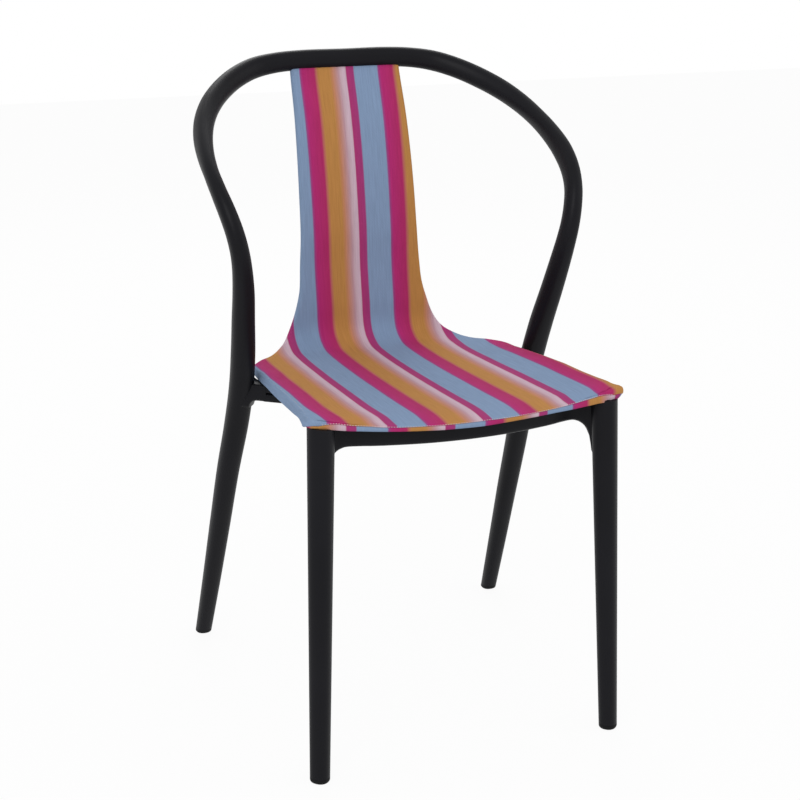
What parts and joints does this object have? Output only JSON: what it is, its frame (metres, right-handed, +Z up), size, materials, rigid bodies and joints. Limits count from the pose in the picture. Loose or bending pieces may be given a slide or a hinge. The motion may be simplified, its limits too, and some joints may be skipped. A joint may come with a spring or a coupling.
{
  "type": "patio chair",
  "caption": "Patio chair with a hoop-shaped moulded frame, open arms and tapered legs, and a striped fabric seat and back strip.",
  "frame": {"origin": "on the floor under the middle of the chair's overall box", "axes": "+Z up, -Y the way the sitter faces, +X to the right seen from the front"},
  "size_m": [0.5004, 0.5108, 0.83],
  "materials": {
    "frame_plastic": "fine matt black moulding",
    "glide_nylon": "matt black nylon",
    "core_plastic": "matt dark grey moulding",
    "foam": "thin open-cell foam, unfinished",
    "striped_fabric": "woven, striped blue, magenta, orange, pink and pale",
    "lining": "black non-woven lining",
    "zinc_steel": "zinc-plated steel",
    "insert_brass": "plain brass"
  },
  "bodies": {
    "root": {"back_frame": "frame_plastic", "seat_frame": "frame_plastic", "seat_core": "core_plastic", "seat_foam": "foam", "seat_cover": "striped_fabric", "edge_band": "striped_fabric", "underside_liner": "lining", "front_glide_right": "glide_nylon", "front_glide_left": "glide_nylon", "rear_glide_right": "glide_nylon", "rear_glide_left": "glide_nylon", "seat_bolt_front_right": "zinc_steel", "seat_bolt_front_left": "zinc_steel", "seat_bolt_rear_right": "zinc_steel", "seat_bolt_rear_left": "zinc_steel", "tee_nut_front_right": "zinc_steel", "tee_nut_front_left": "zinc_steel", "tee_nut_rear_right": "zinc_steel", "tee_nut_rear_left": "zinc_steel", "frame_bolt_outer_right": "zinc_steel", "frame_bolt_outer_left": "zinc_steel", "frame_bolt_inner_right": "zinc_steel", "frame_bolt_inner_left": "zinc_steel", "insert_outer_right": "insert_brass", "insert_outer_left": "insert_brass", "insert_inner_right": "insert_brass", "insert_inner_left": "insert_brass", "back_screw_right": "zinc_steel", "back_screw_left": "zinc_steel"}
  },
  "joints": []
}
